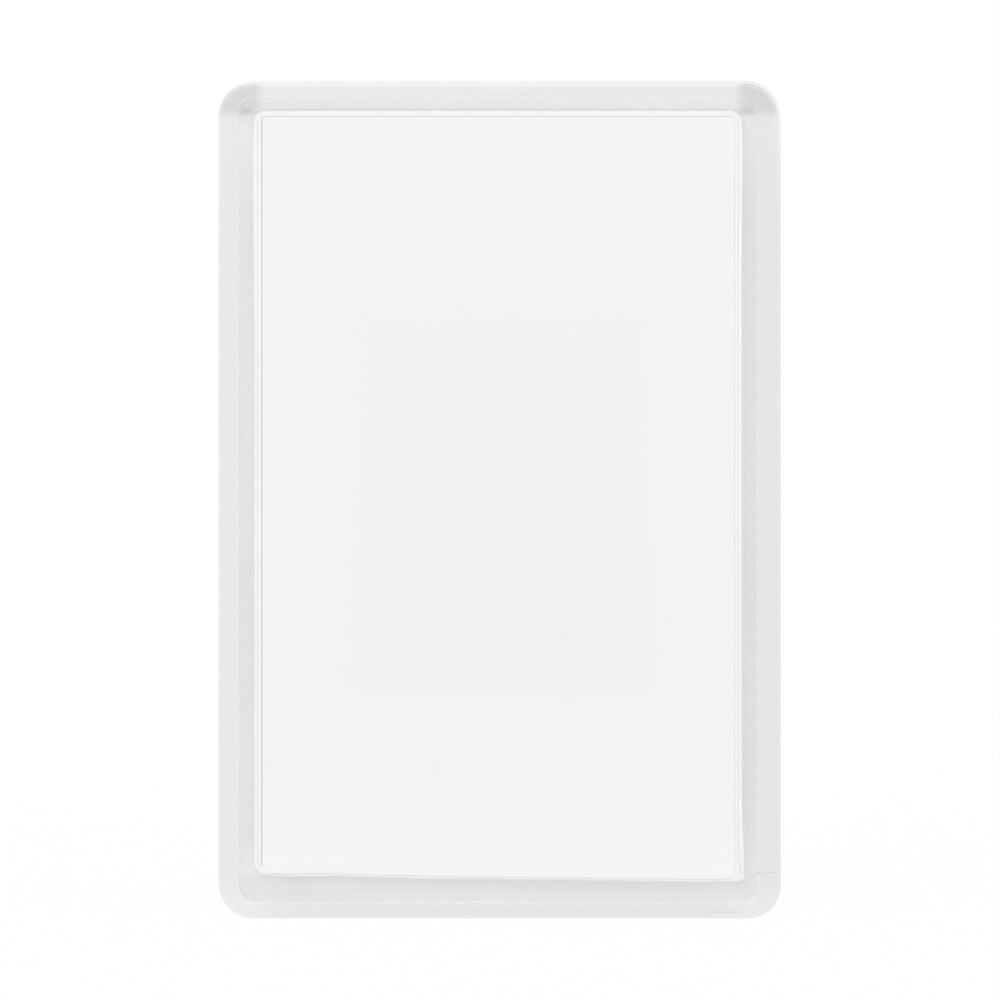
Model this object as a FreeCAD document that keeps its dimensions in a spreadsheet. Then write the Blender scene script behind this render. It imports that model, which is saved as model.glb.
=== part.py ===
import FreeCAD, Part

import math
import os
import re

import Sketcher
from FreeCAD import Vector

# A magnetic photo frame: a clear cover with a card behind its front plate, and a white insert
# that snaps into the cover from behind and carries a flexible magnet.
# X runs to the right, Y to the back and Z up. The origin is the centre of the magnet's rear face,
# and places in depth are given as the distance forward of that face.

doc = FreeCAD.newDocument("PhotoFrame")
sheet = doc.addObject("Spreadsheet::Sheet", "Sizes")

# Driving dimensions, in millimetres
SIZES = [
    ("card_width", "54.0", "card, of the usual small instant picture size"),
    ("card_height", "86.0", "card, at its right edge"),
    ("card_thickness", "0.3", "card"),
    ("card_corner_radius", "0.5", "card, three corners"),
    ("card_cut_radius", "1.2", "card, lower left corner"),
    ("card_clearance", "0.1", "around the card inside the rim"),
    ("card_play", "0.05", "in front of the card and behind it"),
    ("card_slip_share", "0.8", "of that clearance, by which the card has slipped to the right"),
    ("lower_edge_rise", "0.75", "the lower edges of card and platform rise to the left"),
    ("rim_width", "0.6", "rim of the insert around the card"),
    ("rim_edge_radius", "0.2", "outer front edge of that rim"),
    ("platform_thickness", "1.6", "insert, behind the card"),
    ("platform_right_radius", "0.6", "insert, lower right corner of the platform"),
    ("side_channel", "1.8", "from platform to cover wall, at each side"),
    ("top_channel", "1.65", "from platform to cover wall, at the top"),
    ("bottom_channel", "2.65", "from platform to cover wall, at the bottom"),
    ("left_wall", "2.27", "cover wall"),
    ("right_wall", "2.73", "cover wall"),
    ("top_wall", "1.85", "cover wall"),
    ("bottom_wall", "1.85", "cover wall"),
    ("front_plate", "2.4", "cover, in front of the card"),
    ("frame_corner_radius", "4.0", "cover, outer corners seen from the front"),
    ("front_edge_radius", "0.6", "cover, front edge"),
    ("rear_edge_radius", "0.3", "cover, rear edge"),
    ("cavity_corner_radius", "1.8", "cover, inner corners"),
    ("gate_width", "6.5", "trace of the moulding gate on the top wall"),
    ("gate_length", "1.6", "gate trace, front to back"),
    ("gate_height", "0.05", "gate trace, above the wall"),
    ("gate_shift", "1.0", "gate trace, to the right of the cover's middle"),
    ("gate_setback", "2.0", "gate trace, from the cover's front face"),
    ("flange_thickness", "1.2", "insert, the plate that closes the cover's back"),
    ("flange_clearance", "0.15", "between the flange and the cover wall"),
    ("flange_recess", "0.1", "the flange lies this far inside the cover's rear face"),
    ("insert_edge_radius", "0.15", "insert, edges of its rear face"),
    ("snap_length", "10.0", "snap bead, along the wall"),
    ("snap_width", "0.6", "snap bead, front to back"),
    ("snap_height_share", "0.8", "of the flange's clearance, which a bead fills"),
    ("snap_spacing", "50.0", "between the middles of the two beads of a side"),
    ("groove_clearance", "0.1", "around a bead in its groove"),
    ("groove_cut", "0.12", "groove, into the cover wall"),
    ("skirt_wall", "1.6", "insert, outer wall around the hollows in its rear"),
    ("seat_wall", "1.2", "insert, wall around the magnet's seat"),
    ("rib_thickness", "1.0", "insert, ribs in the middle"),
    ("hollow_corner_radius", "0.8", "insert, corners of the hollows"),
    ("ejector_diameter", "3.0", "round ejector marks in the hollows"),
    ("ejector_cut", "0.06", "ejector marks, into the platform"),
    ("notch_radius", "8.0", "half-moon notch for a fingernail"),
    ("notch_reach", "1.4", "notch, upwards from the flange's lower edge"),
    ("notch_cut", "0.7", "notch, into the flange"),
    ("magnet_width", "35.0", "flexible magnet"),
    ("magnet_height", "45.0", "flexible magnet"),
    ("magnet_thickness", "2.0", "flexible magnet"),
    ("magnet_corner_radius", "1.0", "flexible magnet"),
    ("magnet_edge_radius", "0.15", "flexible magnet, front and rear edges"),
    ("magnet_proud", "0.3", "the magnet stands this far behind the cover"),
    ("seat_clearance", "0.3", "around the magnet in its seat"),
    ("adhesive_thickness", "0.15", "film between magnet and seat"),
    ("adhesive_margin", "0.5", "from the film's edge to the magnet's edge"),
    ("overrun", "0.5", "a groove's section starts this far outside the wall"),
]

for row, (alias, value, note) in enumerate(SIZES, start=1):
    sheet.set(f"A{row}", alias)
    sheet.set(f"B{row}", value)
    sheet.set(f"C{row}", note)
    sheet.setAlias(f"B{row}", alias)
doc.recompute()

# Places in depth, forward of the magnet's rear face
COVER_REAR = "magnet_proud"
FLANGE_REAR = "(magnet_proud + flange_recess)"
FLANGE_FRONT = f"({FLANGE_REAR} + flange_thickness)"
SNAP_DEPTH = f"({FLANGE_REAR} + flange_thickness / 2)"
SEAT_FLOOR = "(magnet_thickness + adhesive_thickness)"
PLATFORM_FRONT = f"({SEAT_FLOOR} + platform_thickness)"
CARD_REAR = f"({PLATFORM_FRONT} + card_play)"
RIM_FRONT = f"({CARD_REAR} + card_thickness)"
PLATE_REAR = f"({RIM_FRONT} + card_play)"
COVER_FRONT = f"({PLATE_REAR} + front_plate)"

# Edges seen from the front: the card sets the platform, and so on outwards
PLATFORM_RIGHT = "(card_width / 2 + card_clearance + rim_width)"
PLATFORM_HEIGHT = "(card_height + 2 * card_clearance + 2 * rim_width)"
CAVITY_RIGHT = f"({PLATFORM_RIGHT} + side_channel)"
CAVITY_TOP = f"(({PLATFORM_HEIGHT} + top_channel + bottom_channel) / 2)"
PLATFORM_TOP = f"({CAVITY_TOP} - top_channel)"
PLATFORM_BOTTOM = f"(bottom_channel - {CAVITY_TOP})"
FLANGE_RIGHT = f"({CAVITY_RIGHT} - flange_clearance)"
FLANGE_TOP = f"({CAVITY_TOP} - flange_clearance)"
COVER_LEFT = f"(-{CAVITY_RIGHT} - left_wall)"
COVER_RIGHT = f"({CAVITY_RIGHT} + right_wall)"
COVER_BOTTOM = f"(-{CAVITY_TOP} - bottom_wall)"
COVER_TOP = f"({CAVITY_TOP} + top_wall)"
COVER_MIDDLE = "((right_wall - left_wall) / 2)"
SEAT_RIGHT = "(magnet_width / 2 + seat_clearance)"
SEAT_TOP = "(magnet_height / 2 + seat_clearance)"
HOLLOW_RIGHT = f"({PLATFORM_RIGHT} - skirt_wall)"
HOLLOW_TOP = f"({PLATFORM_TOP} - skirt_wall)"
HOLLOW_BOTTOM = f"({PLATFORM_BOTTOM} + lower_edge_rise + skirt_wall)"

SNAP_HEIGHT = "(snap_height_share * flange_clearance)"
SIDE_SNAPS = [("Upper", "snap_spacing / 2"), ("Lower", "-snap_spacing / 2")]
SIDES = [-1, 1]


def bound(text):
    """An expression with each size named by its cell in the sheet."""
    return re.sub("[a-z_]+", r"Sizes.\g<0>", text)


def number(text):
    """The present value of an expression."""
    return float(sheet.evalExpression(bound(text)))


def rectangle(left, right, bottom, top):
    """Corners in anticlockwise order from the lower left one."""
    return [(left, bottom), (right, bottom), (right, top), (left, top)]


def centred(right, top):
    return rectangle(f"-{right}", right, f"-{top}", top)


def platform_corners(inset, shift="0"):
    """The platform's outline, or one inside it, whose lower edge rises to the left."""
    left = f"({shift} - {PLATFORM_RIGHT} + {inset})"
    right = f"({shift} + {PLATFORM_RIGHT} - {inset})"
    bottom = f"({PLATFORM_BOTTOM} + {inset})"
    top = f"({PLATFORM_TOP} - {inset})"
    return [(left, f"{bottom} + lower_edge_rise"), (right, bottom), (right, top), (left, top)]


def new_body(label):
    body = doc.addObject("PartDesign::Body", label)
    body.Label = label
    return body


def new_sketch(body, name, role, offset):
    """A sketch on one of the body's origin planes, moved along the plane's normal."""
    sketch = body.newObject("Sketcher::SketchObject", name)
    plane = next(part for part in body.Origin.OriginFeatures if part.Role == role)
    sketch.AttachmentSupport = [(plane, "")]
    sketch.MapMode = "FlatFace"
    sketch.setExpression("AttachmentOffset.Base.z", bound(offset))
    return sketch


def front_sketch(body, name, forward):
    """A sketch seen from the front, whose plane's normal points forward."""
    return new_sketch(body, name, "XZ_Plane", forward)


def drive(sketch, text, *constraint):
    """Adds a constraint whose value follows the sheet."""
    index = sketch.addConstraint(Sketcher.Constraint(*constraint, number(text)))
    sketch.setExpression(f"Constraints[{index}]", bound(text))


def place(sketch, corner, geometry, point):
    """Holds a point of the sketch's geometry at a corner, measured from the origin."""
    drive(sketch, corner[0], "DistanceX", -1, 1, geometry, point)
    drive(sketch, corner[1], "DistanceY", -1, 1, geometry, point)


def add_polygon(sketch, corners):
    """A closed outline with sharp corners."""
    points = [Vector(number(x), number(y), 0) for x, y in corners]
    segments = [Part.LineSegment(points[i - 1], points[i]) for i in range(len(points))]
    lines = [sketch.addGeometry(segment, False) for segment in segments]
    for i, corner in enumerate(corners):
        following = lines[(i + 1) % len(lines)]
        sketch.addConstraint(Sketcher.Constraint("Coincident", lines[i], 2, following, 1))
        place(sketch, corner, lines[i], 2)


def add_outline(sketch, corners, radii):
    """A closed outline through corners in anticlockwise order, each rounded by its radius."""
    points = [Vector(number(x), number(y), 0) for x, y in corners]
    marks = []
    arcs = []
    starts = []
    ends = []
    for i, corner in enumerate(points):
        back = (points[i - 1] - corner).normalize()
        ahead = (points[(i + 1) % len(points)] - corner).normalize()
        half_angle = back.getAngle(ahead) / 2
        radius = number(radii[i])
        starts.append(corner + back * (radius / math.tan(half_angle)))
        ends.append(corner + ahead * (radius / math.tan(half_angle)))
        centre = corner + (back + ahead).normalize() * (radius / math.sin(half_angle))
        first, last = [math.atan2(p.y - centre.y, p.x - centre.x) for p in (starts[i], ends[i])]
        circle = Part.Circle(centre, Vector(0, 0, 1), radius)
        arcs.append(sketch.addGeometry(Part.ArcOfCircle(circle, first, last), False))
        marks.append(sketch.addGeometry(Part.Point(corner), True))
    lines = []
    for i in range(len(points)):
        segment = Part.LineSegment(ends[i - 1], starts[i])
        lines.append(sketch.addGeometry(segment, False))
    for i, corner in enumerate(corners):
        following = lines[(i + 1) % len(lines)]
        sketch.addConstraint(Sketcher.Constraint("Tangent", lines[i], 2, arcs[i], 1))
        sketch.addConstraint(Sketcher.Constraint("Tangent", arcs[i], 2, following, 1))
        sketch.addConstraint(Sketcher.Constraint("PointOnObject", marks[i], 1, lines[i]))
        sketch.addConstraint(Sketcher.Constraint("PointOnObject", marks[i], 1, following))
        place(sketch, corner, marks[i], 1)
        drive(sketch, radii[i], "Radius", arcs[i])


def add_circle(sketch, centre, diameter):
    middle = Vector(number(centre[0]), number(centre[1]), 0)
    circle = Part.Circle(middle, Vector(0, 0, 1), number(diameter) / 2)
    index = sketch.addGeometry(circle, False)
    place(sketch, centre, index, 3)
    drive(sketch, diameter, "Diameter", index)


def pad(body, sketch, name, length):
    """Adds the sketch's area along the normal of its plane."""
    feature = body.newObject("PartDesign::Pad", name)
    feature.Profile = sketch
    feature.setExpression("Length", bound(length))
    doc.recompute()
    return feature


def pocket(body, sketch, name, length, along_normal=True):
    """Cuts the sketch's area away along the normal of its plane, or against it."""
    before = body.Shape.Volume
    feature = body.newObject("PartDesign::Pocket", name)
    feature.Profile = sketch
    feature.Reversed = along_normal
    feature.setExpression("Length", bound(length))
    doc.recompute()
    if feature.Shape.Volume >= before:
        raise RuntimeError(f"{name} cuts nothing")
    return feature


def round_face(body, base, name, forward, radius):
    """Rounds the edges of the flat face that lies across the depth at this place."""
    depth = -number(forward)
    tolerance = Part.Precision.confusion()
    names = []
    for index, face in enumerate(base.Shape.Faces, start=1):
        box = face.BoundBox
        if box.YLength < tolerance and abs(box.YMin - depth) < tolerance:
            names.append(f"Face{index}")
    feature = body.newObject("PartDesign::Fillet", name)
    feature.Base = (base, names)
    feature.setExpression("Radius", bound(radius))
    doc.recompute()
    return feature


def groove_section(side, wall):
    """Corners of a snap groove's section in the wall at one side, across and in depth."""
    root = f"{side} * ({wall} - overrun)"
    base = f"{side} * ({wall} + groove_cut)"
    front = f"-{SNAP_DEPTH} - snap_width / 2 - groove_clearance"
    rear = f"-{SNAP_DEPTH} + snap_width / 2 + groove_clearance"
    return [(root, front), (base, front), (base, rear), (root, rear)]


def bead_section(side, edge):
    """Corners of a snap bead's section on the flange's edge at one side, across and in depth."""
    root = f"{side} * ({edge} - {SNAP_HEIGHT})"
    crest = f"{side} * ({edge} + {SNAP_HEIGHT})"
    return [
        (root, f"-{SNAP_DEPTH} - snap_width / 2"),
        (crest, f"-{SNAP_DEPTH} - snap_width / 4"),
        (crest, f"-{SNAP_DEPTH} + snap_width / 4"),
        (root, f"-{SNAP_DEPTH} + snap_width / 2"),
    ]


def snap_sketches(body, kind, section, side_edge, end_edge, length):
    """Sketches of the six snaps: two on each side, and one at each end."""
    sketches = []
    for name, middle in SIDE_SNAPS:
        sketch = new_sketch(body, f"{name}{kind}Outline", "XY_Plane", f"{middle} - {length} / 2")
        for side in SIDES:
            add_polygon(sketch, section(side, side_edge))
        sketches.append((sketch, f"{name}{kind}s"))
    sketch = new_sketch(body, f"End{kind}Outline", "YZ_Plane", f"-{length} / 2")
    for side in SIDES:
        add_polygon(sketch, [(depth, height) for height, depth in section(side, end_edge)])
    sketches.append((sketch, f"End{kind}s"))
    return sketches


def make_cover():
    """The clear cover: a block with rounded edges, hollowed from behind up to its front plate."""
    body = new_body("front_cover")
    outline = front_sketch(body, "CoverOutline", COVER_REAR)
    corners = rectangle(COVER_LEFT, COVER_RIGHT, COVER_BOTTOM, COVER_TOP)
    add_outline(outline, corners, ["frame_corner_radius"] * 4)
    block = pad(body, outline, "CoverBlock", f"{COVER_FRONT} - {COVER_REAR}")
    front = round_face(body, block, "FrontEdge", COVER_FRONT, "front_edge_radius")
    round_face(body, front, "RearEdge", COVER_REAR, "rear_edge_radius")

    cavity = front_sketch(body, "CavityOutline", COVER_REAR)
    add_outline(cavity, centred(CAVITY_RIGHT, CAVITY_TOP), ["cavity_corner_radius"] * 4)
    pocket(body, cavity, "Cavity", f"{PLATE_REAR} - {COVER_REAR}")

    length = "(snap_length + 2 * groove_clearance)"
    grooves = snap_sketches(body, "Groove", groove_section, CAVITY_RIGHT, CAVITY_TOP, length)
    for sketch, name in grooves:
        pocket(body, sketch, name, length)

    gate = new_sketch(body, "GateOutline", "XY_Plane", f"{COVER_TOP} - gate_height")
    left = f"({COVER_MIDDLE} + gate_shift - gate_width / 2)"
    front = f"(gate_setback - {COVER_FRONT})"
    add_polygon(gate, rectangle(left, f"{left} + gate_width", front, f"{front} + gate_length"))
    pad(body, gate, "GateTrace", "2 * gate_height")
    return body


def make_card():
    """The blank card, slipped to the right inside the rim."""
    body = new_body("photo_card")
    outline = front_sketch(body, "CardOutline", CARD_REAR)
    inset = "(rim_width + card_clearance)"
    corners = platform_corners(inset, "card_slip_share * card_clearance")
    add_outline(outline, corners, ["card_cut_radius"] + ["card_corner_radius"] * 3)
    pad(body, outline, "Card", "card_thickness")
    return body


def make_insert():
    """The white insert: a flange in the cover's back, and in front of it a platform with a rim."""
    body = new_body("back_insert")
    flange = front_sketch(body, "FlangeOutline", FLANGE_REAR)
    radius = "cavity_corner_radius - flange_clearance"
    add_outline(flange, centred(FLANGE_RIGHT, FLANGE_TOP), [radius] * 4)
    pad(body, flange, "Flange", "flange_thickness")

    platform = front_sketch(body, "PlatformOutline", FLANGE_FRONT)
    edge = "rim_width + card_clearance"
    upper = [f"card_corner_radius + {edge}"] * 2
    radii = [f"card_cut_radius + {edge}", "platform_right_radius"] + upper
    add_outline(platform, platform_corners("0"), radii)
    raised = pad(body, platform, "Platform", f"{RIM_FRONT} - {FLANGE_FRONT}")
    round_face(body, raised, "RimEdge", RIM_FRONT, "rim_edge_radius")

    recess = front_sketch(body, "RecessOutline", RIM_FRONT)
    others = ["card_corner_radius + card_clearance"] * 3
    add_outline(recess, platform_corners("rim_width"), ["card_cut_radius + card_clearance"] + others)
    pocket(body, recess, "CardRecess", f"{RIM_FRONT} - {PLATFORM_FRONT}", along_normal=False)

    side_hollow = (f"({SEAT_RIGHT} + seat_wall)", HOLLOW_RIGHT, f"-{SEAT_TOP}", SEAT_TOP)
    upper_hollow = ("rib_thickness / 2", HOLLOW_RIGHT, f"({SEAT_TOP} + seat_wall)", HOLLOW_TOP)
    lower_hollow = ("rib_thickness / 2", HOLLOW_RIGHT, HOLLOW_BOTTOM, f"(-{SEAT_TOP} - seat_wall)")
    hollows = front_sketch(body, "HollowOutlines", FLANGE_REAR)
    ejectors = []
    add_outline(hollows, centred(SEAT_RIGHT, SEAT_TOP), ["hollow_corner_radius"] * 4)
    for near, far, bottom, top in (side_hollow, upper_hollow, lower_hollow):
        add_outline(hollows, rectangle(near, far, bottom, top), ["hollow_corner_radius"] * 4)
        mirrored = rectangle(f"-{far}", f"-({near})", bottom, top)
        add_outline(hollows, mirrored, ["hollow_corner_radius"] * 4)
        for side in SIDES:
            ejectors.append((f"{side} * ({near} + {far}) / 2", f"({bottom} + {top}) / 2"))
    hollowed = pocket(body, hollows, "Hollows", f"{SEAT_FLOOR} - {FLANGE_REAR}")
    round_face(body, hollowed, "RearEdges", FLANGE_REAR, "insert_edge_radius")

    marks = front_sketch(body, "EjectorOutlines", SEAT_FLOOR)
    for centre in ejectors:
        add_circle(marks, centre, "ejector_diameter")
    pocket(body, marks, "EjectorMarks", "ejector_cut")

    beads = snap_sketches(body, "Bead", bead_section, FLANGE_RIGHT, FLANGE_TOP, "snap_length")
    for sketch, name in beads:
        pad(body, sketch, name, "snap_length")

    notch = front_sketch(body, "NotchOutline", FLANGE_REAR)
    add_circle(notch, ("0", f"notch_reach - notch_radius - {FLANGE_TOP}"), "2 * notch_radius")
    pocket(body, notch, "NailNotch", "notch_cut")
    return body


def make_magnet():
    """The flexible magnet, whose rear face holds the frame to steel."""
    body = new_body("magnet_sheet")
    outline = front_sketch(body, "MagnetOutline", "0")
    corners = centred("(magnet_width / 2)", "(magnet_height / 2)")
    add_outline(outline, corners, ["magnet_corner_radius"] * 4)
    sheet_pad = pad(body, outline, "Magnet", "magnet_thickness")
    rear = round_face(body, sheet_pad, "MagnetRearEdge", "0", "magnet_edge_radius")
    round_face(body, rear, "MagnetFrontEdge", "magnet_thickness", "magnet_edge_radius")
    return body


def make_adhesive():
    """The adhesive film between the magnet and its seat."""
    body = new_body("magnet_adhesive")
    outline = front_sketch(body, "AdhesiveOutline", "magnet_thickness")
    right = "(magnet_width / 2 - adhesive_margin)"
    top = "(magnet_height / 2 - adhesive_margin)"
    add_outline(outline, centred(right, top), ["magnet_corner_radius"] * 4)
    pad(body, outline, "Adhesive", "adhesive_thickness")
    return body


bodies = [make_cover(), make_card(), make_insert(), make_magnet(), make_adhesive()]
doc.recompute()

for item in doc.Objects:
    if "Invalid" in item.State or "Error" in item.State:
        raise RuntimeError(f"{item.Label} failed: {item.State}")
for body in bodies:
    if body.Shape.isNull() or not body.Shape.isValid():
        raise RuntimeError(f"{body.Label} has no valid shape")

os.makedirs("parts", exist_ok=True)
for body in bodies:
    body.Shape.exportStep(f"parts/{body.Label}.step")
    print(f"{body.Label}: {len(body.Shape.Solids)} solid, {body.Shape.Volume:.1f} cubic millimetres")
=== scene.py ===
import math

import bmesh
import bpy
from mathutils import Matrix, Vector


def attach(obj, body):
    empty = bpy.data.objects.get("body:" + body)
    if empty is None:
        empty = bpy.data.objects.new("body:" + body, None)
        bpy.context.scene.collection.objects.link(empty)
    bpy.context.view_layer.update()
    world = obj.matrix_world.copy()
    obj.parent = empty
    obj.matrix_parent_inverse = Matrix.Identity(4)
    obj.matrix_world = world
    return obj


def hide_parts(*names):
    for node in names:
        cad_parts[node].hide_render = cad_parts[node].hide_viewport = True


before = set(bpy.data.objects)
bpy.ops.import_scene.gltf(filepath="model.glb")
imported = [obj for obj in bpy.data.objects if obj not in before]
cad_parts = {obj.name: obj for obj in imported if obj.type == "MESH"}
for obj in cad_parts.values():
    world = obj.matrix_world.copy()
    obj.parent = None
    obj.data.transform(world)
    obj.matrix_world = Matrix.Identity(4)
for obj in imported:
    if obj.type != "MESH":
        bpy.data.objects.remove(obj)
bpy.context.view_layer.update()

# A magnetic photo frame stands upright on a pale floor: a clear moulded cover, a blank card behind
# its front plate, and a white moulded insert whose flexible magnet faces the back.
# Sizes are in millimetres, seen from the front. Edges are the left, right, lower and upper one.
# Radii belong to the corners, anticlockwise from the lower left one. Depth is counted forward from
# the magnet's rear face. A round is the radius of a rounded edge and the number of its steps.

MM = 0.001
ARC_STEPS = 28
LEAST_RADIUS = 0.04
SAME_PLACE = 0.001
SMOOTH_BELOW = math.radians(34)

# Depths of the faces, from the front to the rear

FRONT = 6.55
PLATE_REAR = 4.15
RIM_FRONT = 4.1
CARD_REAR = 3.8
RECESS_FLOOR = 3.75
HOLLOW_FLOOR = 2.15
MAGNET_FRONT = 2.0
FLANGE_FRONT = 1.6
SNAP_DEPTH = 1.0
FLANGE_REAR = 0.4
COVER_REAR = 0.3
MAGNET_REAR = 0.0

# Sizes of the cover, with extra points along its sides so that no face gets very long

COVER_EDGES = (-31.77, 32.23, -47.7, 47.7)
COVER_RADII = (4.0, 3.75, 4.2, 4.3)
CAVITY_EDGES = (-29.5, 29.5, -45.85, 45.85)
CAVITY_MOUTH = (-29.7, 29.7, -46.15, 46.15)
CAVITY_RADIUS = 1.8
COVER_FRONT_ROUND = (0.6, 9)
COVER_REAR_ROUND = (0.3, 9)
MOUTH_ROUND = (0.12, 3)
CAVITY_BEVEL = 0.01
LONG_STOPS = [-38.0, -16.0, -8.0, 0.0, 8.0, 16.0, 38.0]
SHORT_STOPS = [-20.0, -12.0, 12.0, 20.0]

# The gate trace on top, and the grooves that take the snap beads

GATE_SPAN = (-2.02, 4.48)
GATE_DEPTHS = (4.55, 2.95)
GATE_HEIGHT = 0.05
GATE_SLOPE = 0.1
GATE_END = 0.12
SNAP_MIDDLES = {"left": (-25.0, 25.0), "right": (-25.0, 25.0), "bottom": (0.0,), "top": (0.0,)}
GROOVE_DEPTHS = (SNAP_DEPTH - 0.4, SNAP_DEPTH + 0.4)
GROOVE_HALF = 5.1
GROOVE_END = 0.04
GROOVE_CUT = 0.05
GROOVE_SLOPE = 0.03

# Bubbles (right, up, depth, radius) and hairline cracks (right and up of their points) in the cover

BUBBLES = ((-27.16, 43.55, 4.75, 0.25), (31.6, -27.65, 3.4, 0.1))
BUBBLE_FLATNESS = 0.25
BUBBLE_FINENESS = 3
CRACKS = (
    ((28.58, -43.27), (28.8, -42.97), (29.27, -42.69), (29.79, -42.45)),
    ((29.9, -42.8), (30.26, -42.65), (30.65, -42.48), (31.12, -42.42), (31.6, -42.48), (31.75, -42.74)),
    ((23.7, -46.92), (25.2, -46.95), (26.8, -46.93), (28.2, -46.9)),
)
CRACK_HALF_WIDTHS = (0.075, 0.035, 0.03)
CRACK_FLATNESS = 0.5
CRACK_END_SHARE = 0.35
CRACK_FACETS = 8
CRACK_DEPTH = FRONT - 0.3

# The insert's platform. Its lower edge, from left to right, isn't quite straight, and its sides
# bulge a little, given at heights from the lower end to the upper one. The bulge sets in beyond
# the first distance from the middle and is full at the second.

PLATFORM_LEFT = -27.75
PLATFORM_RIGHT = 27.8
PLATFORM_TOP = 44.25
LOWER_EDGE = (
    (-27.7, -42.66), (-25.0, -42.96), (-23.5, -42.98), (-21.5, -42.9), (-19.0, -42.94),
    (-15.5, -43.04), (-11.0, -43.14), (-5.5, -43.28), (0.5, -43.32), (6.0, -43.36),
    (11.5, -43.44), (17.5, -43.52), (23.0, -43.58), (27.7, -43.52),
)
LOWER_EDGE_REACH = 0.02
LEFT_BULGE = (
    (-43.0, -0.02), (20.0, -0.02), (24.0, 0.03), (29.0, 0.07), (36.0, 0.11), (39.0, 0.14),
    (41.0, 0.13), (43.5, 0.0),
)
RIGHT_BULGE = (
    (-43.5, 0.3), (-40.2, 0.27), (-38.7, 0.19), (-37.0, 0.08), (-32.0, 0.05), (-25.0, 0.02),
    (24.0, 0.02), (34.0, 0.06), (37.0, 0.1), (41.5, 0.1), (43.5, 0.0),
)
BULGE_SPAN = (26.6, 27.6)

# Outlines on the platform: left, right, top, height above the lower edge, and radii

PLATFORM_SIDES = (PLATFORM_LEFT, PLATFORM_RIGHT, PLATFORM_TOP, 0.0, (1.25, 0.5, 1.2, 1.2))
RECESS_SIDES = (-26.9, 26.99, 43.65, 0.24, (0.95, 0.41, 0.53, 0.53))
CARD_SIDES = (-26.85, 26.98, 43.625, 0.262, (0.82, 0.4, 0.5, 0.5))
CARD_FRONT_ROUND = (0.02, 3)
CARD_REAR_ROUND = (0.03, 2)
RECESS_ROUND = (0.02, 3)
PLATFORM_ROUND = (0.1, 5)

# The recess meets its floor, and the platform meets the flange, in a small curve, given as the
# distance from the wall and the rise above the floor. Along its top the platform's curve is cut.

RECESS_CURVE = ((0.08, 0.0), (0.02, 0.02), (0.0, 0.08))
FOOT_CURVE = ((0.14, 0.12), (0.17, 0.07), (0.24, 0.03), (0.34, 0.0))
FOOT_CUT = 0.055
FOOT_END = 0.37
TOP_REACH = 0.3

# Fine lines along both sides of the rim's front, and a slit at its lower right, as outlines with
# the depth of the cut there

LINE_CUT = 0.09
LINE_SPAN = (-41.5, 43.2)
LINE_RINGS = (
    ((-27.28, 27.34, 43.9, 0.15, (1.08, 0.44, 0.8, 0.8)), 0.0),
    ((-27.3, 27.36, 43.92, 0.145, (1.09, 0.44, 0.82, 0.82)), LINE_CUT),
    ((-27.38, 27.42, 43.98, 0.135, (1.14, 0.46, 0.88, 0.88)), LINE_CUT),
    ((-27.4, 27.44, 44.0, 0.13, (1.15, 0.46, 0.9, 0.9)), 0.0),
)
SLIT_CUT = 0.12
SLIT_SPAN = (-42.5, -41.6)
SLIT_REACH = 0.5
SLIT_END = 0.02
SLIT_RINGS = (
    ((-27.55, 27.6, 44.05, 0.126, (1.17, 0.46, 0.95, 0.95)), 0.0),
    ((-27.56, 27.61, 44.06, 0.122, (1.17, 0.46, 0.96, 0.96)), SLIT_CUT),
    ((-27.61, 27.66, 44.11, 0.116, (1.18, 0.46, 1.0, 1.0)), SLIT_CUT),
    ((-27.62, 27.67, 44.12, 0.112, (1.18, 0.46, 1.01, 1.01)), 0.0),
)

# The insert's flange, with its snap beads and a half-moon notch for a fingernail. The beads'
# profile gives depths and heights; the notch is open from its ceiling to the rear.

FLANGE_EDGES = (-29.66, 29.66, -46.1, 46.1)
FLANGE_RADIUS = 1.75
FLANGE_FRONT_ROUND = (0.1, 3)
FLANGE_REAR_ROUND = (0.15, 4)
NOTCH_RADIUS = 8.0
NOTCH_MIDDLE = -52.3
NOTCH_CEILING = 1.1
BEAD_HALF = 4.7
BEAD_END = 0.3
BEAD_HEIGHT = 0.06
BEAD_PROFILE = (
    (SNAP_DEPTH + 0.3, 0.0),
    (SNAP_DEPTH + 0.15, BEAD_HEIGHT),
    (NOTCH_CEILING, BEAD_HEIGHT),
    (NOTCH_CEILING - 0.02, BEAD_HEIGHT),
    (SNAP_DEPTH - 0.15, BEAD_HEIGHT),
    (SNAP_DEPTH - 0.3, 0.0),
)

# The seat of the magnet, the hollows on the right of the insert's rear, which repeat on the left,
# and the round ejector marks in them, a hair narrower at their floor

SEAT_EDGES = (-17.8, 17.8, -22.8, 22.8)
RIGHT_HOLLOWS = ((19.0, 26.1, -22.8, 22.8), (0.5, 26.1, 24.0, 42.6), (0.5, 26.1, -40.85, -24.0))
HOLLOW_RADIUS = 0.8
HOLLOW_ROUND = (0.2, 4)
EJECTOR_RADII = (1.5, 1.47)
EJECTOR_CUT = 0.06
EJECTOR_STEPS = 40

MAGNET_EDGES = (-17.5, 17.5, -22.5, 22.5)
MAGNET_RADIUS = 1.0
MAGNET_ROUND = (0.15, 4)


def row(first, spacing, count):
    """Evenly spaced places."""
    return [first + spacing * step for step in range(count)]


# Points along the platform's lower, right, upper and left side, closer where a side bends and at
# the slit, and points along the notch

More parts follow.
